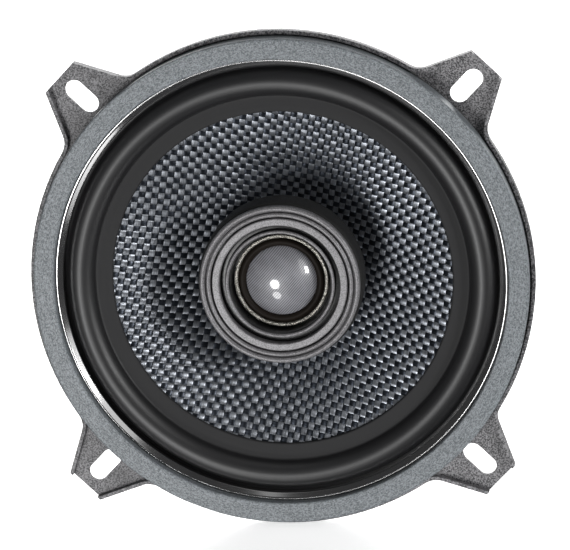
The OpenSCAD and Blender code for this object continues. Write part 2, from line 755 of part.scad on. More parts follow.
// Narrow half roll between the dome and its clamped edge
module dome_surround() facing_front() color([0.20, 0.15, 0.12]) rotate_extrude() {
    r = 0.8;
    inner = dome_r + glue;
    skirt = inner + 2 * r - dome_t;
    translate([inner + r, ring_top_z]) difference() {
        circle(r, $fn = small_fn);
        circle(r - dome_t, $fn = small_fn);
        translate([-2 * r, -4 * r]) square(4 * r);
    }
    translate([skirt, ring_top_z]) square([dome_clamp[1] - skirt, clamp_z - ring_top_z]);
}

module tweeter_coil_former() facing_front() color([0.75, 0.62, 0.38])
    ring(tweeter_coil_r, tweeter_coil_r + tweeter_former_t, tweeter_coil_z[0] - glue, dome_z);

module tweeter_coil_winding() facing_front() color(c_copper)
    ring(tweeter_coil_r + tweeter_former_t + fit, tweeter_coil_r + 0.45,
        tweeter_coil_z[0], tweeter_coil_z[1]);

basket_frame();
front_gasket();
surround_clamp_ring();
plate_rivets();
top_plate();
ferrite_magnet();
back_plate_pole();
terminal_board();
terminal_board_rivet();
positive_tab();
negative_tab();
tab_rivets();
solder_joints();
crossover_capacitor();
capacitor_sleeve();
capacitor_adhesive();
capacitor_leads();
lead_sleeve();
tweeter_leads();
tweeter_post();
post_washer();
post_nut();
tweeter_housing();
tweeter_bezel();
tweeter_face_ring();
tweeter_throat();
dome_clamp_ring();
diaphragm_ring();
tweeter_pot();
tweeter_magnet();
tweeter_pole_disc();
woofer_cone();
surround();
spider();
voice_coil_former();
coil_collar();
voice_coil_winding();
lead_eyelets();
tinsel_leads();
tweeter_dome();
dome_surround();
tweeter_coil_former();
tweeter_coil_winding();
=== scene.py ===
"""A coaxial car speaker of the 130 mm class, standing on its rim in a pale studio.

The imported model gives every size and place. The pieces that show from the front or that bend are
remade here, with rounded edges, a real weave and soft surfaces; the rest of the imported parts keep
their shape and get a finish. Lengths are metres, and profiles are (radius, forward) pairs about
the speaker's axis, which runs along -Y towards the listener.
"""
import math

import bmesh
import bpy
from mathutils import Matrix, Vector


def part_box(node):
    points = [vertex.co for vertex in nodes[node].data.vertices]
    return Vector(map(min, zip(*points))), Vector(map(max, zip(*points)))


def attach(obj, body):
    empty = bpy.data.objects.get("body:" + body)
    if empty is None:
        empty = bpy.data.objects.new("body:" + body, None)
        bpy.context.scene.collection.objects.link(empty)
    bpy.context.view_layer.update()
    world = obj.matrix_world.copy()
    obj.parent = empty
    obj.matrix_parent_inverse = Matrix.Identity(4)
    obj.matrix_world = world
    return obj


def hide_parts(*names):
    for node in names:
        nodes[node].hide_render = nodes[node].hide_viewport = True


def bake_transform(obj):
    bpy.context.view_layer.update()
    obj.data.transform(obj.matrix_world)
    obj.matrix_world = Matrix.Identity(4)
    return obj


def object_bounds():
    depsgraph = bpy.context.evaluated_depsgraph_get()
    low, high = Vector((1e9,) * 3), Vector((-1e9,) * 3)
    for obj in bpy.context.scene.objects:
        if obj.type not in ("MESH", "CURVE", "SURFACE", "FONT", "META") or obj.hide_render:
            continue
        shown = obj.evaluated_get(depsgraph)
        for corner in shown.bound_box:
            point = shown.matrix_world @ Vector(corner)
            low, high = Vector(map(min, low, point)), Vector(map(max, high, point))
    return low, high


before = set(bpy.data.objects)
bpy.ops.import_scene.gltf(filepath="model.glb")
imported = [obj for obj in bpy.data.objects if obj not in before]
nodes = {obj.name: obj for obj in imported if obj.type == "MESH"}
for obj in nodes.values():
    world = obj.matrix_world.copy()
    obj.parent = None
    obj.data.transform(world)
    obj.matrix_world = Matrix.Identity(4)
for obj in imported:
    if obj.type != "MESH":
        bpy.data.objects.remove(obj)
cad_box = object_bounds()
scene = bpy.context.scene
MM = 0.001
FINE_WELD, WELD = 1e-7, 1e-6


# ---------------------------------------------------------------- sizes read from the frame

def radii(node):
    """(inner, outer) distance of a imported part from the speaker's axis."""
    away = [math.hypot(v.co.x, v.co.z) for v in nodes[node].data.vertices]
    return min(away), max(away)


def depth(node):
    """(back, front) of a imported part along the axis, counted towards the listener."""
    low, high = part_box(node)
    return -high.y, -low.y


# ---------------------------------------------------------------- mesh helpers

def new_piece(name, mesh, body, finish, stands_for):
    """An object for a finished mesh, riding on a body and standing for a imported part. The weave
    brings its own finish and is given none."""
    piece = bpy.data.objects.new(name, mesh)
    scene.collection.objects.link(piece)
    if finish:
        mesh.materials.clear()
        mesh.materials.append(finish)
    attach(piece, body)
    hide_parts(stands_for)


def rounded(corners, segments):
    """Closed outline through (radius, forward, fillet) corners, each rounded by its fillet. A
    point just outside each end of an arc keeps the flats beside it flat in shading."""
    nearly_straight, lead_in = math.radians(88), 0.15
    points = []
    for i, (r, z, fillet) in enumerate(corners):
        here = Vector((r, z))
        back = (Vector(corners[i - 1][:2]) - here).normalized()
        ahead = (Vector(corners[(i + 1) % len(corners)][:2]) - here).normalized()
        half = back.angle(ahead) / 2
        if fillet <= 0 or half > nearly_straight:
            points.append(here)
            continue
        reach = fillet / math.tan(half)
        centre = here + (back + ahead).normalized() * fillet / math.sin(half)
        first = here + back * reach - centre
        last = here + ahead * reach - centre
        turn = first.angle_signed(last)
        points.append(centre + first + back * fillet * lead_in)
        for k in range(segments + 1):
            spin = Matrix.Rotation(-turn * k / segments, 2)
            points.append(centre + spin @ first)
        points.append(centre + last + ahead * fillet * lead_in)
    return [(p.x, p.y) for p in points]


def ring_outline(node, back_edge, front_edge, segments):
    """Outline of a packed flat ring with its back and front edges rounded."""
    low, high = radii(node)
    back, front = depth(node)
    return rounded([(low, back, back_edge), (high, back, back_edge), (high, front, front_edge),
                    (low, front, front_edge)], segments)


def lathe(name, outline, steps, closed=True, wobble=None):
    """Mesh of an outline turned about the axis. wobble(angle, i) may shift a point's radius."""
    mesh = bpy.data.meshes.new(name)
    size = len(outline)
    points = []
    for k in range(steps):
        a = 2 * math.pi * k / steps
        for i, (r, z) in enumerate(outline):
            radius = r + (wobble(a, i) if wobble else 0)
            points.append((radius * math.cos(a), -z, radius * math.sin(a)))
    faces = []
    for k in range(steps):
        here, there = k * size, (k + 1) % steps * size
        for i in range(size if closed else size - 1):
            j = (i + 1) % size
            faces.append((here + i, here + j, there + j, there + i))
    mesh.from_pydata(points, [], faces)
    finish_mesh(mesh)
    return mesh


def finish_mesh(mesh):
    """Welds doubles, turns normals outwards and shades smooth."""
    work = bmesh.new()
    work.from_mesh(mesh)
    bmesh.ops.remove_doubles(work, verts=work.verts, dist=FINE_WELD)
    bmesh.ops.recalc_face_normals(work, faces=work.faces)
    for face in work.faces:
        face.smooth = True
    work.to_mesh(mesh)
    work.free()
    mesh.update()


# ---------------------------------------------------------------- node helpers

class Tree:
    """Short calls for building a shader or geometry node tree."""

    def __init__(self, tree):
        self.tree = tree

    def add(self, kind, inputs=None, **settings):
        node = self.tree.nodes.new(kind)
        for key, value in settings.items():
            setattr(node, key, value)
        for key, value in (inputs or {}).items():
            self.feed(node.inputs[key], value)
        return node

    def feed(self, socket, value):
        if isinstance(value, bpy.types.Node):
            value = value.outputs[0]
        if isinstance(value, bpy.types.NodeSocket):
            self.tree.links.new(value, socket)
        else:
            socket.default_value = value

    def math(self, operation, a, b=0.0, c=0.0):
        return self.add("ShaderNodeMath", {0: a, 1: b, 2: c}, operation=operation).outputs[0]

    def vector(self, operation, a, b=(0, 0, 0)):
        node = self.add("ShaderNodeVectorMath", {0: a, 1: b}, operation=operation)
        return node.outputs["Value" if operation in ("LENGTH", "DOT_PRODUCT") else "Vector"]

    def combine(self, x=0.0, y=0.0, z=0.0):
        return self.add("ShaderNodeCombineXYZ", {"X": x, "Y": y, "Z": z}).outputs[0]

    def separate(self, vector):
        return self.add("ShaderNodeSeparateXYZ", {0: vector}).outputs

    def noise(self, vector, scale, detail=2.0, rough=0.5):
        node = self.add("ShaderNodeTexNoise", {"Vector": vector, "Scale": scale,
                                               "Detail": detail, "Roughness": rough})
        return node.outputs[0]

    def ramp(self, value, low, high, to_low=0.0, to_high=1.0):
        node = self.add("ShaderNodeMapRange", {
            "Value": value, "From Min": low, "From Max": high, "To Min": to_low,
            "To Max": to_high}, interpolation_type="SMOOTHSTEP")
        return node.outputs[0]

    def mix(self, factor, a, b):
        node = self.add("ShaderNodeMix", data_type="RGBA")
        for key, value in ((0, factor), (6, a), (7, b)):
            self.feed(node.inputs[key], value)
        return node.outputs[2]

    def bump(self, height, strength, distance):
        inputs = {"Height": height, "Strength": strength, "Distance": distance}
        return self.add("ShaderNodeBump", inputs).outputs[0]

    def group(self, tree, **inputs):
        node = self.add("ShaderNodeGroup", node_tree=tree)
        for key, value in inputs.items():
            self.feed(node.inputs[key], value)
        return node.outputs


def shader_group(name, inputs, outputs):
    """An empty shader node group: (tree helper, its inputs, its output node)."""
    tree = bpy.data.node_groups.new(name, "ShaderNodeTree")
    for label, kind, value in inputs:
        socket = tree.interface.new_socket(label, in_out="INPUT", socket_type=kind)
        if value is not None:
            socket.default_value = value
    for label, kind in outputs:
        tree.interface.new_socket(label, in_out="OUTPUT", socket_type=kind)
    t = Tree(tree)
    return t, t.add("NodeGroupInput").outputs, t.add("NodeGroupOutput")


def material(name, color, roughness, metallic=0.0, sockets=None):
    """A material with one Principled shader: (material, tree helper, shader node)."""
    made = bpy.data.materials.new(name)
    made.use_nodes = True
    made.node_tree.nodes.clear()
    t = Tree(made.node_tree)
    surface = t.add("ShaderNodeBsdfPrincipled")
    out = t.add("ShaderNodeOutputMaterial")
    t.feed(out.inputs["Surface"], surface.outputs[0])
    values = {"Base Color": (*color, 1), "Roughness": roughness, "Metallic": metallic}
    for socket, value in (values | (sockets or {})).items():
        surface.inputs[socket].default_value = value
    return made, t, surface


FLOAT = "NodeSocketFloat"
VECTOR = "NodeSocketVector"
ARC_RADIUS = 50 * MM


# ---------------------------------------------------------------- shared effects

def make_around_axis():
    """Where a point is about the speaker's axis: radius, arc along a set circle, forward."""
    t, _, out = shader_group("around_axis", [], [("Radius", FLOAT), ("Arc", FLOAT),
                                                 ("Forward", FLOAT)])
    x, y, z = t.separate(t.add("ShaderNodeTexCoord").outputs["Object"])
    t.feed(out.inputs["Radius"], t.vector("LENGTH", t.combine(x, 0.0, z)))
    angle = t.math("ARCTAN2", z, x)
    t.feed(out.inputs["Arc"], t.math("MULTIPLY", angle, ARC_RADIUS))
    t.feed(out.inputs["Forward"], t.math("MULTIPLY", y, -1.0))
    return t.tree


def make_grain():
    """Fine grain of moulded plastic or paint: a mottle value and a bumped normal."""
    broader, fine_share, broad_share = 0.14, 0.9, 0.1
    t, given, out = shader_group(
        "fine_grain",
        [("Grain", FLOAT, 0.3), ("Depth", FLOAT, 0.02), ("Strength", FLOAT, 0.4)],
        [("Mottle", FLOAT), ("Normal", VECTOR)])
    place = t.add("ShaderNodeTexCoord").outputs["Object"]
    scale = t.math("DIVIDE", 1.0, t.math("MULTIPLY", given["Grain"], MM))
    fine = t.noise(place, scale, 3.0, 0.65)
    broad = t.noise(place, t.math("MULTIPLY", scale, broader), 2.0, 0.5)
    t.feed(out.inputs["Mottle"], t.math("ADD", t.math("MULTIPLY", fine, fine_share),
                                        t.math("MULTIPLY", broad, broad_share)))
    height = t.math("MULTIPLY", given["Depth"], MM)
    t.feed(out.inputs["Normal"], t.bump(fine, given["Strength"], height))
    return t.tree


def make_turned():
    """Fine rings left by turning or drawing: a streak value and a bumped normal."""
    t, given, out = shader_group(
        "turned_rings",
        [("Pitch", FLOAT, 0.12), ("Length", FLOAT, 14.0), ("Depth", FLOAT, 0.01),
         ("Strength", FLOAT, 0.4)],
        [("Streak", FLOAT), ("Normal", VECTOR)])
    axis = t.group(AROUND)
    radial = t.math("DIVIDE", axis["Radius"], t.math("MULTIPLY", given["Pitch"], MM))
    along = t.math("DIVIDE", axis["Arc"], t.math("MULTIPLY", given["Length"], MM))
    forward = t.math("DIVIDE", axis["Forward"], t.math("MULTIPLY", given["Pitch"], MM))
    streak = t.noise(t.combine(radial, along, forward), 1.0, 3.0, 0.6)
    t.feed(out.inputs["Streak"], streak)
    height = t.math("MULTIPLY", given["Depth"], MM)
    t.feed(out.inputs["Normal"], t.bump(streak, given["Strength"], height))
    return t.tree


AROUND = make_around_axis()
GRAIN = make_grain()
TURNED = make_turned()


# ---------------------------------------------------------------- materials

def grained(name, dark, light, roughness, grain, depth_mm, strength=0.5, metallic=0.0,
            spread=0.2):
    """Moulded or painted surface: two tones mixed by a fine grain, with a matching bump."""
    smoother, rougher = 0.85, 1.2
    made, t, surface = material(name, light, roughness, metallic)
    fine = t.group(GRAIN, Grain=grain, Depth=depth_mm, Strength=strength)
    tone = t.ramp(fine["Mottle"], 0.5 - spread, 0.5 + spread)
    t.feed(surface.inputs["Base Color"], t.mix(tone, (*dark, 1), (*light, 1)))
    t.feed(surface.inputs["Roughness"], t.ramp(fine["Mottle"], 0.25, 0.75, roughness * smoother,
                                               min(1, roughness * rougher)))
    t.feed(surface.inputs["Normal"], fine["Normal"])
    return made


def turned_metal(name, color, roughness, pitch=0.12, strength=0.35):
    """Turned or plated metal with fine rings and a faint mottled tarnish."""
    tarnish, most_tarnish = 0.7, 0.6
    streak_rough, stain_rough = 0.18, 0.1
    made, t, surface = material(name, color, roughness, 1.0)
    rings = t.group(TURNED, Pitch=pitch, Length=16.0, Depth=0.01, Strength=strength)
    place = t.add("ShaderNodeTexCoord").outputs["Object"]
    stain = t.ramp(t.noise(place, 120.0, 4.0, 0.6), 0.35, 0.75)
    dull = tuple(c * tarnish for c in color)
    shade = t.mix(t.math("MULTIPLY", stain, most_tarnish), (*color, 1), (*dull, 1))
    t.feed(surface.inputs["Base Color"], shade)
    streak = t.math("MULTIPLY_ADD", rings["Streak"], streak_rough, roughness - streak_rough / 2)
    stained = t.math("MULTIPLY", stain, stain_rough)
    t.feed(surface.inputs["Roughness"], t.math("ADD", streak, stained))
    t.feed(surface.inputs["Normal"], rings["Normal"])
    return made


def gasket_material():
    """Blue-grey board with a fine grain of short fibres that run round the ring."""
    short_share, fibre_share, grain_share = 0.4, 0.12, 0.48
    dark, light = (0.072, 0.083, 0.09), (0.25, 0.272, 0.29)
    made, t, surface = material("gasket_slate", light, 0.5)
    short = t.group(TURNED, Pitch=0.22, Length=0.7)
    fibres = t.group(TURNED, Pitch=0.3, Length=5.0)
    fine = t.group(GRAIN, Grain=0.34)
    tone = t.math("ADD", t.math("MULTIPLY", short["Streak"], short_share),
                  t.math("MULTIPLY", fibres["Streak"], fibre_share))
    tone = t.math("ADD", tone, t.math("MULTIPLY", fine["Mottle"], grain_share))
    t.feed(surface.inputs["Base Color"], t.mix(t.ramp(tone, 0.4, 0.6), (*dark, 1), (*light, 1)))
    t.feed(surface.inputs["Roughness"], t.ramp(tone, 0.3, 0.7, 0.56, 0.42))
    t.feed(surface.inputs["Normal"], t.bump(tone, strength=0.6, distance=0.06 * MM))
    return made


def rubber_material(name, color, roughness, shine=0.4, matt_inside=0.0):
    """Moulded rubber: soft mottled shine, with faint rings from the mould. Inside a radius, where
    the cone's glue was wiped over it, it can be matt."""
    darker, lighter, grain_share, ring_share = 0.75, 1.25, 0.6, 0.4
    vary, wiped_rough, fade = 0.06, 0.35, 0.5 * MM
    made, t, surface = material(name, color, roughness, sockets={"Specular IOR Level": shine})
    fine = t.group(GRAIN, Grain=0.25, Depth=0.012, Strength=0.35)
    rings = t.group(TURNED, Pitch=0.35, Length=40.0, Depth=0.01, Strength=0.2)
    tone = t.math("ADD", t.math("MULTIPLY", fine["Mottle"], grain_share),
                  t.math("MULTIPLY", rings["Streak"], ring_share))
    dark = tuple(c * darker for c in color)
    light = tuple(c * lighter for c in color)
    t.feed(surface.inputs["Base Color"], t.mix(t.ramp(tone, 0.3, 0.7), (*dark, 1), (*light, 1)))
    rough = t.ramp(tone, 0.3, 0.7, roughness - vary, roughness + vary)
    if matt_inside:
        radius = t.group(AROUND)["Radius"]
        wiped = t.ramp(radius, matt_inside - fade, matt_inside + fade, wiped_rough, 0.0)
        rough = t.math("ADD", rough, wiped)
    t.feed(surface.inputs["Roughness"], rough)
    t.feed(surface.inputs["Normal"], fine["Normal"])
    return made


def glossy_material(name, color, roughness):
    """Glossy moulded plastic under a clear skin, with the slight ripple of a moulded part."""
    darker, lighter = 0.7, 1.4
    made, t, surface = material(name, color, roughness, sockets={
        "Coat Weight": 1.0, "Coat Roughness": 0.14, "Coat IOR": 3.2})
    place = t.add("ShaderNodeTexCoord").outputs["Object"]
    ripple = t.noise(place, 180.0)
    dark = tuple(c * darker for c in color)
    light = tuple(c * lighter for c in color)
    t.feed(surface.inputs["Base Color"], t.mix(ripple, (*dark, 1), (*light, 1)))
    t.feed(surface.inputs["Roughness"], t.ramp(ripple, 0.3, 0.7, roughness, roughness + 0.1))
    t.feed(surface.inputs["Normal"], t.bump(ripple, strength=0.15, distance=0.03 * MM))
    return made


def tow_material(name, warp, weft, roughness):
    """Flat bundles of fibres in clear resin, the warp lighter than the weft. This is partly the
    tows' own silver and black, and partly painted highlight and shade that stand in for the fibres'
    directional shine. The streaks run along each tow in its own coordinates, and the highlight is
    stretched across them."""
    along_per_m, across_per_m, blotch_per_m = 0.35 / MM, 9 / MM, 0.5 / MM
    streak_share, blotch_share = 0.65, 0.35
    made, t, surface = material(name, warp[1], roughness, 0.8, sockets={
        "Anisotropic": 0.88, "Coat Weight": 0.12, "Coat Roughness": 0.22,
        "Specular IOR Level": 0.8})
    place = t.add("ShaderNodeAttribute", attribute_name="tow_place").outputs["Vector"]
    s, w, number = t.separate(place)
    streak_at = t.combine(t.math("MULTIPLY", s, along_per_m),
                          t.math("MULTIPLY", w, across_per_m), number)
    streak = t.noise(streak_at, 1.0, 3.0, 0.6)
    blotch = t.noise(t.combine(t.math("MULTIPLY", s, blotch_per_m), 0.0, number), 1.0)
    tone = t.ramp(t.math("ADD", t.math("MULTIPLY", streak, streak_share),
                         t.math("MULTIPLY", blotch, blotch_share)), 0.34, 0.66)
    turned = t.add("ShaderNodeAttribute", attribute_name="turned").outputs["Fac"]
    # Painted highlight and shade in part: the warp's lighter and the weft's darker tones stand
    # partly for how the fibres catch the light.
    bright = t.mix(tone, (*warp[0], 1), (*warp[1], 1))
    dark = t.mix(tone, (*weft[0], 1), (*weft[1], 1))
    t.feed(surface.inputs["Base Color"], t.mix(turned, dark, bright))
    t.feed(surface.inputs["Roughness"], t.ramp(streak, 0.3, 0.7, roughness - 0.08, roughness + 0.1))
    t.feed(surface.inputs["Normal"], t.bump(streak, strength=0.5, distance=0.03 * MM))
    tangent = t.add("ShaderNodeAttribute", attribute_name="tow_across").outputs["Vector"]
    t.feed(surface.inputs["Tangent"], tangent)
    return made


def silk_material():
    """Coated silk: two crossing sets of threads on the bias, under a glossy damping coat."""
    dark, light = (0.06, 0.06, 0.068), (0.34, 0.34, 0.37)
    lean, pitch, cross_pitch = math.radians(47), 0.52 * MM, 0.36 * MM
    thread_share, cross_share, cloud = 0.46, 0.14, 0.16
    made, t, surface = material("silk_dome", light, 0.44, sockets={
        "Specular IOR Level": 0.9, "Coat Weight": 1.0, "Coat IOR": 1.65, "Coat Roughness": 0.06})
    place = t.add("ShaderNodeTexCoord").outputs["Object"]
    x, _, z = t.separate(place)
    across = t.math("ADD", t.math("MULTIPLY", x, math.sin(lean)),
                    t.math("MULTIPLY", z, -math.cos(lean)))
    up = t.math("ADD", t.math("MULTIPLY", x, math.cos(lean)),
                t.math("MULTIPLY", z, math.sin(lean)))
    threads = t.math("SINE", t.math("MULTIPLY", across, 2 * math.pi / pitch))
    cross = t.math("SINE", t.math("MULTIPLY", up, 2 * math.pi / cross_pitch))
    cloth = t.math("ADD", t.math("MULTIPLY", threads, thread_share),
                   t.math("MULTIPLY", cross, cross_share))
    cloudy = t.ramp(t.noise(place, 260.0, 3.0, 0.6), 0.2, 0.8, -cloud, cloud)
    tone = t.math("ADD", t.math("ADD", cloth, 0.5), cloudy)
    t.feed(surface.inputs["Base Color"], t.mix(tone, (*dark, 1), (*light, 1)))
    t.feed(surface.inputs["Normal"], t.bump(cloth, strength=0.35, distance=0.03 * MM))
    return made


def cloth_material(name, dark, light, pitch_mm):
    """Resin-dipped cotton: a square weave in the plane across the speaker's axis."""
    thread_share = 0.22
    made, t, surface = material(name, light, 0.85)
    place = t.add("ShaderNodeTexCoord").outputs["Object"]
    x, _, z = t.separate(place)
    per_metre = 2 * math.pi / (pitch_mm * MM)
    warp = t.math("SINE", t.math("MULTIPLY", x, per_metre))
    weft = t.math("SINE", t.math("MULTIPLY", z, per_metre))
    cloth = t.math("MULTIPLY", warp, weft)
    stain = t.noise(place, 90.0, 4.0, 0.6)
    tone = t.math("ADD", t.math("MULTIPLY", cloth, thread_share), stain)
    t.feed(surface.inputs["Base Color"], t.mix(t.ramp(tone, 0.25, 0.8), (*dark, 1), (*light, 1)))
    t.feed(surface.inputs["Normal"], t.bump(cloth, strength=0.5, distance=0.08 * MM))
    return made


def wound_material(name, color, pitch_mm):
    """Fine wire wound side by side round the axis."""
    shaded = 0.35
    made, t, surface = material(name, color, 0.32, 0.85)
    axis = t.group(AROUND)
    turns = t.math("SINE", t.math("MULTIPLY", axis["Forward"], 2 * math.pi / (pitch_mm * MM)))
    dark = tuple(c * shaded for c in color)
    t.feed(surface.inputs["Base Color"],
           t.mix(t.ramp(turns, -1.0, 1.0), (*dark, 1), (*color, 1)))
    t.feed(surface.inputs["Normal"], t.bump(turns, strength=0.6, distance=0.05 * MM))
    return made


M = {
    "paint": grained("textured_black_paint", (0.012, 0.012, 0.014), (0.26, 0.255, 0.265),
                     roughness=0.46, grain=0.42, depth_mm=0.1, strength=0.9, spread=0.1),
    "gasket": gasket_material(),
    "bead": glossy_material("glossy_bead", (0.010, 0.010, 0.011), roughness=0.16),
    "rubber": rubber_material("surround_rubber", (0.012, 0.012, 0.013), roughness=0.44, shine=0.62,
                              matt_inside=48 * MM),
    # Warp and weft tones: partly the tows' own colour, partly painted highlight on the warp and
    # painted shade on the weft.
    "carbon": tow_material("woven_tows_with_painted_light", ((0.17, 0.18, 0.20), (0.50, 0.53, 0.58)),
                           ((0.010, 0.013, 0.018), (0.06, 0.07, 0.09)), roughness=0.36),
    "cone_back": grained("resin_cone", (0.006, 0.006, 0.007), (0.016, 0.016, 0.018),
                         roughness=0.45, grain=0.5, depth_mm=0.03),
    "trim": grained("satin_grey_trim", (0.10, 0.097, 0.10), (0.28, 0.275, 0.285), roughness=0.4,
                    grain=0.28, depth_mm=0.03, strength=0.5, metallic=0.35, spread=0.13),
    "housing": grained("black_moulding", (0.004, 0.004, 0.004), (0.010, 0.010, 0.010),
                       roughness=0.78, grain=0.4, depth_mm=0.03),
    "throat": grained("satin_black_throat", (0.006, 0.006, 0.006), (0.014, 0.014, 0.015),
                      roughness=0.3, grain=0.4, depth_mm=0.015, strength=0.25),
    "bronze": grained("textured_bronze", (0.03, 0.028, 0.024), (0.66, 0.64, 0.58), roughness=0.36,
                      grain=0.26, depth_mm=0.14, strength=1.0, metallic=1.0, spread=0.12),
    "coated_silk": rubber_material("coated_silk_edge", (0.011, 0.008, 0.006), roughness=0.55,
                                   shine=0.12),
    "silk": silk_material(),
    "ferrite": grained("ferrite", (0.018, 0.018, 0.019), (0.045, 0.045, 0.046), roughness=0.62,
                       grain=0.6, depth_mm=0.08),
    "zinc": turned_metal("zinc_plate", (0.62, 0.63, 0.62), roughness=0.36),
    "bright": turned_metal("bright_steel", (0.66, 0.66, 0.67), roughness=0.28, pitch=0.08,
                           strength=0.2),
    "tinned": grained("tinned_brass", (0.52, 0.50, 0.46), (0.72, 0.70, 0.66), roughness=0.3,
                      grain=0.5, depth_mm=0.02, strength=0.3, metallic=1.0),
    "board": grained("phenolic_board", (0.10, 0.045, 0.018), (0.19, 0.095, 0.042), roughness=0.5,
                     grain=0.5, depth_mm=0.03),
    "sleeve": grained("capacitor_sleeve", (0.008, 0.015, 0.06), (0.014, 0.025, 0.10),
                      roughness=0.28, grain=0.8, depth_mm=0.02, strength=0.2),
    "adhesive": grained("contact_adhesive", (0.35, 0.24, 0.09), (0.55, 0.42, 0.2), roughness=0.35,
                        grain=1.6, depth_mm=0.3, strength=0.6),
    "shrink": rubber_material("shrink_sleeve", (0.012, 0.012, 0.012), roughness=0.35),
    "spider": cloth_material("spider_cloth", (0.24, 0.14, 0.035), (0.55, 0.38, 0.13), pitch_mm=0.8),
    "kraft": grained("kraft_paper", (0.20, 0.12, 0.06), (0.34, 0.23, 0.13), roughness=0.8,
                     grain=0.5, depth_mm=0.05),
    "film": grained("coil_film", (0.10, 0.05, 0.014), (0.2, 0.105, 0.03), roughness=0.3, grain=1.0,
                    depth_mm=0.01, strength=0.2),
    "wire": wound_material("enamelled_copper", (0.62, 0.24, 0.09), pitch_mm=0.25),
    "tinsel": turned_metal("tinsel_copper", (0.62, 0.34, 0.17), roughness=0.34, pitch=0.1,
                           strength=0.3),
    "red_lead": rubber_material("red_insulation", (0.32, 0.018, 0.015), roughness=0.35),
    "black_lead": rubber_material("black_insulation", (0.014, 0.014, 0.015), roughness=0.35),
}


# ---------------------------------------------------------------- shape of the woofer's cone

NECK_R, RIM_R = 12.9 * MM, 43.8 * MM
NECK_Z, RISE, BULGE = -16.5 * MM, 17.1 * MM, 0.5 * MM


def cone_front(radius):
    """How far forward the cone's front face is, at a distance from the axis."""
    t = (radius - NECK_R) / (RIM_R - NECK_R)
    return NECK_Z + RISE * t + BULGE * 4 * t * (1 - t)


def cone_slope(radius):
    t = (radius - NECK_R) / (RIM_R - NECK_R)
    return (RISE + BULGE * 4 * (1 - 2 * t)) / (RIM_R - NECK_R)


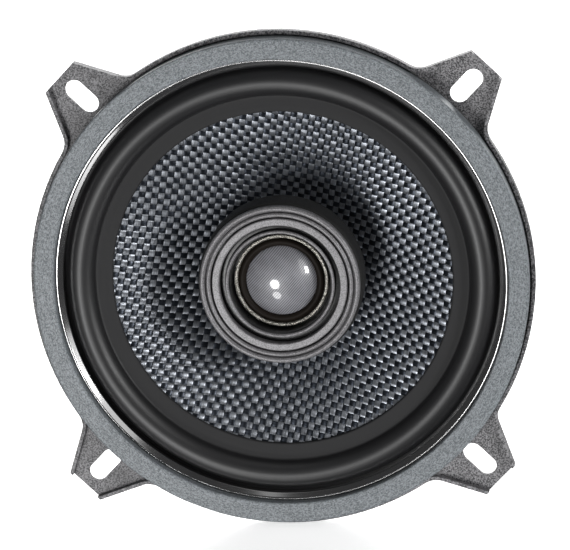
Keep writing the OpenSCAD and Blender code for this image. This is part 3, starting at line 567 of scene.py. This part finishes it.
def make_weave(tow_finish):
    """Plain weave of flat tows laid over the cone: wide warp, up and down, and narrower weft from
    side to side. The warp is coloured lighter and the weft darker. This is partly their own tone
    and partly painted highlight and shade for the fibres' directional shine.

    A cell of the weave carries one pillow, of the weft or of the warp in turn. Geometry Nodes
    set the pillows out on a tilted square grid, and the projection on the cone and the tows' own
    coordinates are then worked out for every vertex."""
    pitch = 1.58 * MM
    tilt = math.radians(-12.9)
    inner, outer = 14.2 * MM, 45.2 * MM
    long_steps, wide_steps = 6, 6
    length, width = 1.12 * pitch, 0.84 * pitch
    longer, wider, sway = 0.02, 0.1, 0.035
    lift, crown, waist = 0.14 * MM, 0.08 * MM, 0.03
    dip, dip_power, crown_power = 1.25, 2.6, 4

    tile = bpy.data.meshes.new("weave_pillow")
    points, faces = [], []
    for i in range(long_steps + 1):
        u = i / long_steps - 0.5
        for j in range(wide_steps + 1):
            v = j / wide_steps - 0.5
            narrow = 1 - waist * (2 * u) ** 2
            height = lift * (1 - dip * abs(2 * u) ** dip_power) - crown * (2 * v) ** crown_power
            points.append((u * length, v * width * narrow, height))
    row = wide_steps + 1
    for i in range(long_steps):
        for j in range(wide_steps):
            a = i * row + j
            faces.append((a, a + row, a + row + 1, a + 1))
    tile.from_pydata(points, [], faces)
    pillow = bpy.data.objects.new("weave_pillow", tile)

    tree = bpy.data.node_groups.new("woven_cone", "GeometryNodeTree")
    for label, kind in (("Geometry", "NodeSocketGeometry"), ("Pillow", "NodeSocketObject"),
                        ("Pitch", FLOAT), ("Tilt", FLOAT), ("Inner Radius", FLOAT),
                        ("Outer Radius", FLOAT), ("Warp Longer", FLOAT), ("Warp Wider", FLOAT),
                        ("Finish", "NodeSocketMaterial")):
        tree.interface.new_socket(label, in_out="INPUT", socket_type=kind)
    tree.interface.new_socket("Geometry", in_out="OUTPUT", socket_type="NodeSocketGeometry")
    t = Tree(tree)
    given = t.add("NodeGroupInput").outputs
    out = t.add("NodeGroupOutput")
    cells = 61
    span = t.math("MULTIPLY", given["Pitch"], float(cells - 1))
    grid = t.add("GeometryNodeMeshGrid", {"Size X": span, "Size Y": span, "Vertices X": cells,
                                          "Vertices Y": cells})
    place = t.add("GeometryNodeInputPosition").outputs[0]
    away = t.vector("LENGTH", place)
    beyond = t.add("FunctionNodeBooleanMath", {
        0: t.add("FunctionNodeCompare", {0: away, 1: given["Outer Radius"]},
                 operation="GREATER_THAN"),
        1: t.add("FunctionNodeCompare", {0: away, 1: given["Inner Radius"]},
                 operation="LESS_THAN")}, operation="OR")
    kept = t.add("GeometryNodeDeleteGeometry", {"Geometry": grid.outputs["Mesh"],
                                                "Selection": beyond.outputs[0]}, domain="POINT")
    x, y, _ = t.separate(place)
    cell = t.math("ADD", t.math("ROUND", t.math("DIVIDE", x, given["Pitch"])),
                  t.math("ROUND", t.math("DIVIDE", y, given["Pitch"])))
    parity = t.math("MODULO", t.math("ABSOLUTE", cell), 2.0)
    quarter = t.math("MULTIPLY", t.math("ROUND", parity), math.pi / 2)
    index = t.add("GeometryNodeInputIndex").outputs[0]
    wander = t.add("FunctionNodeRandomValue", {"Min": (-1, -1, -1), "Max": (1, 1, 1),
                                               "ID": index, "Seed": 7}, data_type="FLOAT_VECTOR")
    info = t.add("GeometryNodeObjectInfo", {"Object": given["Pillow"]})
    size = t.combine(t.math("MULTIPLY_ADD", parity, given["Warp Longer"], 1.0),
                     t.math("MULTIPLY_ADD", parity, given["Warp Wider"], 1.0), 1.0)
    set_out = t.add("GeometryNodeInstanceOnPoints", {
        "Points": kept.outputs[0], "Instance": info.outputs["Geometry"],
        "Rotation": t.combine(0.0, 0.0, t.math("ADD", quarter, t.math(
            "MULTIPLY", t.separate(wander.outputs[0])[0], sway))), "Scale": size})
    marked = t.add("GeometryNodeStoreNamedAttribute", {
        "Geometry": set_out.outputs[0], "Name": "turned", "Value": parity},
        data_type="FLOAT", domain="INSTANCE")
    tilted = t.add("GeometryNodeTransform", {
        "Geometry": marked.outputs[0], "Rotation": t.combine(0.0, 0.0, given["Tilt"])})
    whole = t.add("GeometryNodeRealizeInstances", {"Geometry": tilted.outputs[0]})
    dressed = t.add("GeometryNodeSetMaterial", {"Geometry": whole.outputs[0],
                                                "Material": given["Finish"]})
    t.feed(out.inputs[0], dressed.outputs[0])

    carrier = bpy.data.objects.new("weave_carrier", bpy.data.meshes.new("weave_carrier"))
    scene.collection.objects.link(carrier)
    scene.collection.objects.link(pillow)
    modifier = carrier.modifiers.new("weave", "NODES")
    modifier.node_group = tree
    values = {"Pillow": pillow, "Pitch": pitch, "Tilt": tilt, "Inner Radius": inner,
              "Outer Radius": outer, "Warp Longer": longer, "Warp Wider": wider,
              "Finish": tow_finish}
    for item in tree.interface.items_tree:
        if item.item_type == "SOCKET" and item.in_out == "INPUT" and item.name in values:
            modifier[item.identifier] = values[item.name]
    graph = bpy.context.evaluated_depsgraph_get()
    mesh = bpy.data.meshes.new_from_object(carrier.evaluated_get(graph))
    carrier.modifiers.clear()
    bpy.data.objects.remove(carrier)
    bpy.data.objects.remove(pillow)

    lay_on_cone(mesh, pitch, tilt)
    return mesh


def lay_on_cone(mesh, pitch, tilt):
    """Bends the flat weave over the cone and notes each tow's own coordinates and direction. The
    strides give every tow, of either direction, a place of its own in the streaks."""
    tow_stride, warp_stride = 7.31, 311.7
    along_u = Vector((math.cos(tilt), math.sin(tilt)))
    along_v = Vector((-math.sin(tilt), math.cos(tilt)))
    turned = [round(d.value) for d in mesh.attributes["turned"].data]
    where = mesh.attributes.new("tow_place", "FLOAT_VECTOR", "POINT")
    across = mesh.attributes.new("tow_across", "FLOAT_VECTOR", "POINT")
    for v in mesh.vertices:
        flat = Vector((v.co.x, v.co.y))
        height = v.co.z
        u, w = flat.dot(along_u), flat.dot(along_v)
        side = along_u if turned[v.index] else along_v
        s, off = (w, u) if turned[v.index] else (u, w)
        number = math.floor(off / pitch + 0.5)
        where.data[v.index].vector = (s, off - number * pitch,
                                      number * tow_stride + turned[v.index] * warp_stride)
        radius = flat.length
        outward = flat / radius
        slope = cone_slope(radius)
        normal = Vector((-slope * outward.x, -1.0, -slope * outward.y)).normalized()
        tangent = Vector((side.x, -slope * side.dot(outward), side.y)).normalized()
        across.data[v.index].vector = tangent
        base = Vector((flat.x, -cone_front(radius), flat.y))
        v.co = base + normal * height
    for polygon in mesh.polygons:
        polygon.use_smooth = True
    mesh.update()
    work = bmesh.new()
    work.from_mesh(mesh)
    flipped = [f for f in work.faces if f.normal.y > 0]
    bmesh.ops.reverse_faces(work, faces=flipped)
    work.to_mesh(mesh)
    work.free()
    mesh.update()


def radial_weights(piece, inner, outer):
    """Bakes a finished ring's placing into its mesh. For each point it works out a share between
    inner and outer from its distance from the axis; the share is not stored or used."""
    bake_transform(piece)
    for v in piece.data.vertices:
        t = (outer - math.hypot(v.co.x, v.co.z)) / (outer - inner)
        t = min(1, max(0, t))


def flexing(name, mesh, finish, stands_for, inner, outer):
    """A soft ring between a moving body, inside, and the frame, outside."""
    piece = bpy.data.objects.new(name, mesh)
    scene.collection.objects.link(piece)
    mesh.materials.clear()
    mesh.materials.append(finish)
    radial_weights(piece, inner, outer)
    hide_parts(stands_for)


# ---------------------------------------------------------------- woofer: cone, surround, spider

def build_cone():
    """The woven front face over a resin shell, one piece each."""
    new_piece("cone_weave", make_weave(M["carbon"]), "cone_assembly", None, "woofer_cone")
    under, thick, steps = 0.14 * MM, 0.6 * MM, 28
    neck_gap, weave_edge = 0.3 * MM, 43.9 * MM
    shoulder, rim_front, rim_back = (44.6 * MM, 1.0 * MM), 1.06 * MM, 0.5 * MM
    low, high = radii("woofer_cone")
    front = []
    for k in range(steps + 1):
        r = low + neck_gap + (weave_edge - low) * k / steps
        front.append((r, cone_front(r) - under))
    rear = [(r, z - thick) for r, z in reversed(front)]
    outline = front + [shoulder, (high, rim_front), (high, rim_back)] + rear
    new_piece("cone_shell", lathe("cone_shell", outline, 192), "cone_assembly", M["cone_back"],
              "woofer_cone")


def build_surround():
    """Moulded rubber: flat inner flange on the cone, half roll, flat outer flange."""
    low, high = radii("surround")
    base, thick, steps = 1.2 * MM, 0.7 * MM, 22
    middle_r, roll = 51.9 * MM, 3.6 * MM
    hollow, hollow_lift, hollow_stretch = roll - thick, 0.15 * MM, 1.12
    bend_from, bend_to = 48.6 * MM, 55.2 * MM
    top = base + thick
    foot = top + 0.08 * MM
    front = [(low, base + 0.1 * MM), (low + 0.25 * MM, top - 0.05 * MM), (low + 0.6 * MM, top),
             (46.2 * MM, top), (47.6 * MM, top - 0.02 * MM), (48.05 * MM, foot)]
    for k in range(1, steps):
        a = math.pi * (1 - k / steps)
        front.append((middle_r + roll * math.cos(a), top + roll * math.sin(a)))
    front += [(55.75 * MM, foot), (56.2 * MM, top), (60 * MM, top), (high, top)]
    rear = [(high, base), (56.0 * MM, base), (55.0 * MM, base)]
    for k in range(1, steps):
        a = math.pi * k / steps
        rear.append((middle_r + hollow * math.cos(a),
                     base + hollow_lift + hollow * math.sin(a) * hollow_stretch))
    rear += [(48.7 * MM, base), (47 * MM, base)]
    flexing("surround_roll", lathe("surround", front + rear, 256), M["rubber"], "surround",
            bend_from, bend_to)


def build_spider():
    """Pressed cloth in waves: glued on the former inside, and on the basket's landing outside."""
    low, high = radii("spider")
    flat_from, thick, steps = 28.8 * MM, 0.4 * MM, 72
    plane, wave, waves, run_in = -22.6 * MM, 0.9 * MM, 3, 12
    bend_from, bend_to = 14 * MM, 28.4 * MM
    front = []
    for k in range(steps + 1):
        r = low + (high - low) * k / steps
        z = plane
        if r < flat_from:
            t = (r - low) / (flat_from - low)
            fade = min(1, t * run_in) * min(1, (1 - t) * run_in)
            z += wave * math.sin(2 * math.pi * waves * t) * fade
        front.append((r, z + thick / 2))
    outline = front + [(r, z - thick) for r, z in reversed(front)]
    flexing("spider_cloth", lathe("spider", outline, 160), M["spider"], "spider",
            bend_from, bend_to)


# ---------------------------------------------------------------- gasket and clamp bead

def build_gasket():
    """Board gasket with a softly rounded face; its edges wander a little, as cut board does."""
    outline = ring_outline("front_gasket", 0.2 * MM, 0.45 * MM, 4)
    swing, waves = 0.035 * MM, ((1, 9, 0.7), (0.7, 23, 2.1), (0.5, 41, 0))
    middle_r = sum(radii("front_gasket")) / 2
    middle_z = sum(depth("front_gasket")) / 2

    def wander(angle, index):
        r, z = outline[index]
        if z < middle_z:
            return 0.0
        ripple = sum(size * math.sin(angle * count + phase) for size, count, phase in waves)
        return ripple * swing if r < middle_r else -abs(ripple * swing)

    mesh = lathe("front_gasket", outline, 512, wobble=wander)
    new_piece("gasket_ring", mesh, "frame", M["gasket"], "front_gasket")


def build_clamp_bead():
    """Glossy bead inside the gasket, sloping down to the surround."""
    low, high = radii("surround_clamp_ring")
    back, front = depth("surround_clamp_ring")
    slope_w, slope_h = 1.2 * MM, 1.0 * MM
    outline = rounded([(low, back, 0.1 * MM), (high, back, 0.1 * MM), (high, front, 0.2 * MM),
                       (low + slope_w, front, 0.6 * MM), (low, front - slope_h, 0.3 * MM)], 6)
    new_piece("clamp_bead", lathe("clamp_bead", outline, 320), "frame", M["bead"],
              "surround_clamp_ring")


# ---------------------------------------------------------------- tweeter

DOME_BASE = 2.4 * MM


def build_tweeter_rings():
    """The face ring and the bronze clamp ring, turned with rounded edges."""
    for node, name, finish, slot, edge in (
            ("tweeter_face_ring", "face_ring", "trim", "satin_grey_trim", 0.3 * MM),
            ("dome_clamp_ring", "bronze_clamp_ring", "bronze", "bronze_ring", 0.52 * MM)):
        mesh = lathe(name, ring_outline(node, 0.08 * MM, edge, 5), 256)
        new_piece(name, mesh, "frame", M[finish], node)


def build_throat():
    """Satin black throat with a half-round grey lip."""
    low, high = radii("tweeter_throat")
    back = depth("tweeter_throat")[0]
    lip_in, lip_out, lip_z, seat_z = 13.2 * MM, 14.1 * MM, 6.7 * MM, 5.3 * MM
    wall = rounded([(low, back, 0), (high, back, 0), (high, seat_z, 0),
                    (lip_out + 0.1 * MM, seat_z, 0.15 * MM), (lip_out, lip_z, 0),
                    (lip_in, lip_z, 0)], 3)
    new_piece("throat_wall", lathe("throat_wall", wall, 256), "frame", M["throat"],
              "tweeter_throat")
    ring_mid, ring_half, steps = (lip_in + lip_out) / 2, (lip_out - lip_in) / 2, 8
    lip = [(ring_mid + ring_half * math.cos(math.pi * k / steps),
            lip_z + ring_half * math.sin(math.pi * k / steps)) for k in range(steps + 1)]
    new_piece("throat_lip", lathe("throat_lip", lip, 256), "frame", M["trim"],
              "tweeter_throat")


def build_dome():
    """Silk dome, a cap of a sphere with two skins."""
    crest = depth("tweeter_dome")[1]
    edge_r = radii("tweeter_dome")[1]
    rise = crest - DOME_BASE
    sphere = (edge_r ** 2 + rise ** 2) / (2 * rise)
    steps, thick = 20, 0.2 * MM
    front = []
    for k in range(steps + 1):
        r = edge_r * (1 - k / steps)
        front.append((r, DOME_BASE + math.sqrt(sphere ** 2 - r ** 2) - (sphere - rise)))
    rear = [(r, z - thick) for r, z in reversed(front)]
    mesh = lathe("silk_dome", front + rear, 192, closed=False)
    close_dome(mesh)
    new_piece("silk_dome", mesh, "tweeter_diaphragm", M["silk"], "tweeter_dome")


def build_edge_roll():
    """Narrow half roll that lets the dome move."""
    inner, high = 9.05 * MM, radii("dome_surround")[1]
    middle_r, roll, skin, steps = 10.1 * MM, 0.8 * MM, 0.2 * MM, 12
    bend_from, bend_to = 9.3 * MM, 10.9 * MM
    front = [(inner, DOME_BASE + 0.05 * MM)]
    for k in range(steps + 1):
        a = math.pi * (1 - k / steps)
        front.append((middle_r + roll * math.cos(a), DOME_BASE + skin + roll * math.sin(a)))
    front.append((high, DOME_BASE + skin))
    rear = [(high, DOME_BASE)]
    for k in range(1, steps):
        a = math.pi * k / steps
        rear.append((middle_r + (roll - skin) * math.cos(a),
                     DOME_BASE + (roll - skin) * math.sin(a)))
    rear.append((inner, DOME_BASE))
    flexing("dome_edge_roll", lathe("dome_edge_roll", front + rear, 192), M["coated_silk"],
            "dome_surround", bend_from, bend_to)


def close_dome(mesh):
    """Closes the rim between a dome's two skins; the poles were merged by the welding."""
    work = bmesh.new()
    work.from_mesh(mesh)
    bmesh.ops.remove_doubles(work, verts=work.verts, dist=WELD)
    rim = [e for e in work.edges if e.is_boundary]
    if rim:
        bmesh.ops.bridge_loops(work, edges=rim)
    bmesh.ops.recalc_face_normals(work, faces=work.faces)
    for face in work.faces:
        face.smooth = True
    work.to_mesh(mesh)
    work.free()
    mesh.update()


# ---------------------------------------------------------------- leads

def solids_of(node):
    """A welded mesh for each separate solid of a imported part, from left to right."""
    whole = bmesh.new()
    whole.from_mesh(nodes[node].data)
    bmesh.ops.remove_doubles(whole, verts=whole.verts, dist=WELD)
    seen = set()
    found = []
    for first in whole.verts:
        if first in seen:
            continue
        seen.add(first)
        group = [first]
        for vert in group:
            for edge in vert.link_edges:
                other = edge.other_vert(vert)
                if other not in seen:
                    seen.add(other)
                    group.append(other)
        number = {vert: i for i, vert in enumerate(group)}
        faces = [[number[v] for v in face.verts] for face in whole.faces
                 if face.verts[0] in number]
        mesh = bpy.data.meshes.new(node)
        mesh.from_pydata([v.co.copy() for v in group], [], faces)
        finish_mesh(mesh)
        found.append(mesh)
    whole.free()
    return sorted(found, key=lambda mesh: sum(v.co.x for v in mesh.vertices))


def build_leads():
    """Two insulated tweeter leads, and two bare braids that run between the tabs and the cone."""
    for mesh, name, finish in zip(solids_of("tweeter_leads"),
                                  ("negative_tweeter_lead", "positive_tweeter_lead"),
                                  ("black_lead", "red_lead")):
        new_piece(name, mesh, "frame", M[finish], "tweeter_leads")

    for mesh, name, side in zip(solids_of("tinsel_leads"),
                                ("left_tinsel_lead", "right_tinsel_lead"), (-1, 1)):
        braid = bpy.data.objects.new(name, mesh)
        scene.collection.objects.link(braid)
        mesh.materials.append(M["tinsel"])
        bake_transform(braid)
        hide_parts("tinsel_leads")


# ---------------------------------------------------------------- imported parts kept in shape

KEPT = {
    "basket_frame": ("paint", 0.32),
    "plate_rivets": ("bright", 0.2),
    "top_plate": ("zinc", 0.35),
    "ferrite_magnet": ("ferrite", 0.7),
    "back_plate_pole": ("zinc", 0.35),
    "terminal_board": ("board", 0.1),
    "terminal_board_rivet": ("bright", 0.2),
    "positive_tab": ("tinned", 0.12),
    "negative_tab": ("tinned", 0.12),
    "tab_rivets": ("bright", 0.15),
    "solder_joints": ("bright", 0.3),
    "crossover_capacitor": ("bright", 0.4),
    "capacitor_sleeve": ("sleeve", 0.3),
    "capacitor_adhesive": ("adhesive", 0.6),
    "capacitor_leads": ("tinned", 0.0),
    "lead_sleeve": ("shrink", 0.2),
    "tweeter_post": ("housing", 0.25),
    "post_washer": ("bright", 0.15),
    "post_nut": ("bright", 0.25),
    "tweeter_housing": ("housing", 0.3),
    "tweeter_bezel": ("trim", 0.25),
    "diaphragm_ring": ("throat", 0.15),
    "tweeter_pot": ("zinc", 0.3),
    "tweeter_magnet": ("bright", 0.3),
    "tweeter_pole_disc": ("zinc", 0.2),
    "voice_coil_former": ("film", 0.0),
    "coil_collar": ("kraft", 0.0),
    "voice_coil_winding": ("wire", 0.0),
    "lead_eyelets": ("bright", 0.1),
    "tweeter_coil_former": ("film", 0.0),
    "tweeter_coil_winding": ("wire", 0.0),
}


def dress_kept():
    """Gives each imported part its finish, welded and with rounded edges."""
    for node, (finish, round_mm) in KEPT.items():
        part = nodes[node]
        part.data.materials.clear()
        part.data.materials.append(M[finish])
        weld = part.modifiers.new("weld", "WELD")
        weld.merge_threshold = WELD
        if round_mm:
            edge = part.modifiers.new("rounded_edges", "BEVEL")
            edge.width = round_mm * MM
            edge.segments = 2
            edge.limit_method = "ANGLE"
            edge.angle_limit = math.radians(40)
            edge.use_clamp_overlap = True


# ---------------------------------------------------------------- studio

def build_lights():
    """Soft boxes on every side, all turned to the speaker."""
    for name, shape, place, size, watts in (
            ("front_disc", "ELLIPSE", (-0.316, -0.907, -0.279), (0.36, 0.36), 4.9),
            ("low_disc", "ELLIPSE", (-0.25, -0.71, -0.656), (0.3, 0.3), 1.4),
            ("right_box", "RECTANGLE", (0.82, -0.58, 0.17), (0.16, 0.24), 3.2),
            ("right_wall", "RECTANGLE", (1.0, -0.62, 0.35), (0.8, 0.8), 3.0),
            ("low_edge_box", "RECTANGLE", (0.87, -0.18, -0.95), (0.25, 0.6), 1.9),
            ("top_box", "RECTANGLE", (0.1, -0.1, 0.9), (0.8, 0.5), 1.0),
            ("rear_left", "RECTANGLE", (-0.7, 0.8, 0.5), (0.7, 0.7), 6.0),
            ("rear_wall", "RECTANGLE", (0.05, 1.3, 0.35), (1.4, 0.7), 12.0),
            ("rear_right", "RECTANGLE", (0.8, 0.6, 0.3), (0.5, 0.7), 5.0)):
        data = bpy.data.lights.new(name, "AREA")
        data.shape = shape
        data.size, data.size_y = size
        data.energy = watts
        lamp = bpy.data.objects.new(name, data)
        lamp.location = place
        lamp.rotation_euler = (-Vector(place)).to_track_quat("-Z", "Y").to_euler()
        scene.collection.objects.link(lamp)


def build_studio():
    """Wide pale floor and a white surround. Both are white to look at and dim as lights, so that
    dark surfaces keep their depth."""
    floor_z, reach, sides = cad_box[0][2], 4.0, 64
    turns = [2 * math.pi * k / sides for k in range(sides)]
    points = [(0, 0, floor_z)]
    points += [(reach * math.cos(a), reach * math.sin(a), floor_z) for a in turns]
    faces = [(0, k + 1, (k + 1) % sides + 1) for k in range(sides)]
    mesh = bpy.data.meshes.new("studio_floor")
    mesh.from_pydata(points, [], faces)
    floor = bpy.data.objects.new("studio_floor", mesh)
    scene.collection.objects.link(floor)
    made, t, surface = material("studio_white", (0.8, 0.8, 0.8), 0.28,
                                sockets={"Emission Color": (1, 1, 1, 1)})
    seen = t.add("ShaderNodeLightPath").outputs["Is Camera Ray"]
    away = t.vector("LENGTH", t.add("ShaderNodeTexCoord").outputs["Object"])
    glow = t.ramp(away, 0.1, 1.6, 0.58, 0.9)
    t.feed(surface.inputs["Emission Strength"], t.math("MULTIPLY_ADD", seen, glow, 0.1))
    mesh.materials.append(made)
    floor.visible_shadow = False
    floor.visible_glossy = False

    world = bpy.data.worlds.new("studio")
    scene.world = world
    world.use_nodes = True
    t = Tree(world.node_tree)
    sky = world.node_tree.nodes["Background"]
    sky.inputs["Color"].default_value = (1.0, 1.0, 1.0, 1)
    seen = t.add("ShaderNodeLightPath").outputs["Is Camera Ray"]
    t.feed(sky.inputs["Strength"], t.math("MULTIPLY_ADD", seen, 0.92, 0.08))


def build_camera():
    """A long lens in front, a little above and to the right."""
    data = bpy.data.cameras.new("camera")
    camera = bpy.data.objects.new("camera", data)
    scene.collection.objects.link(camera)
    azimuth, elevation, roll = (math.radians(a) for a in (6.82, 13.93, -2.86))
    back = Vector((math.sin(azimuth) * math.cos(elevation),
                   -math.cos(azimuth) * math.cos(elevation), math.sin(elevation)))
    turn = back.to_track_quat("Z", "Y").to_matrix().to_4x4()
    aim = Vector((0, -0.0012, 0))
    distance = 0.9
    camera.matrix_world = (Matrix.Translation(aim + back * distance) @ turn
                           @ Matrix.Rotation(roll, 4, "Z"))
    data.lens, data.sensor_width = 221.4, 36
    data.shift_x, data.shift_y = 0.0048, 0.0067
    data.clip_start, data.clip_end = 0.01, 20
    scene.camera = camera
    scene.view_settings.view_transform = "Standard"


build_camera()
build_studio()
build_lights()
build_cone()
build_surround()
build_spider()
build_gasket()
build_clamp_bead()
build_tweeter_rings()
build_throat()
build_dome()
build_edge_roll()
build_leads()
dress_kept()
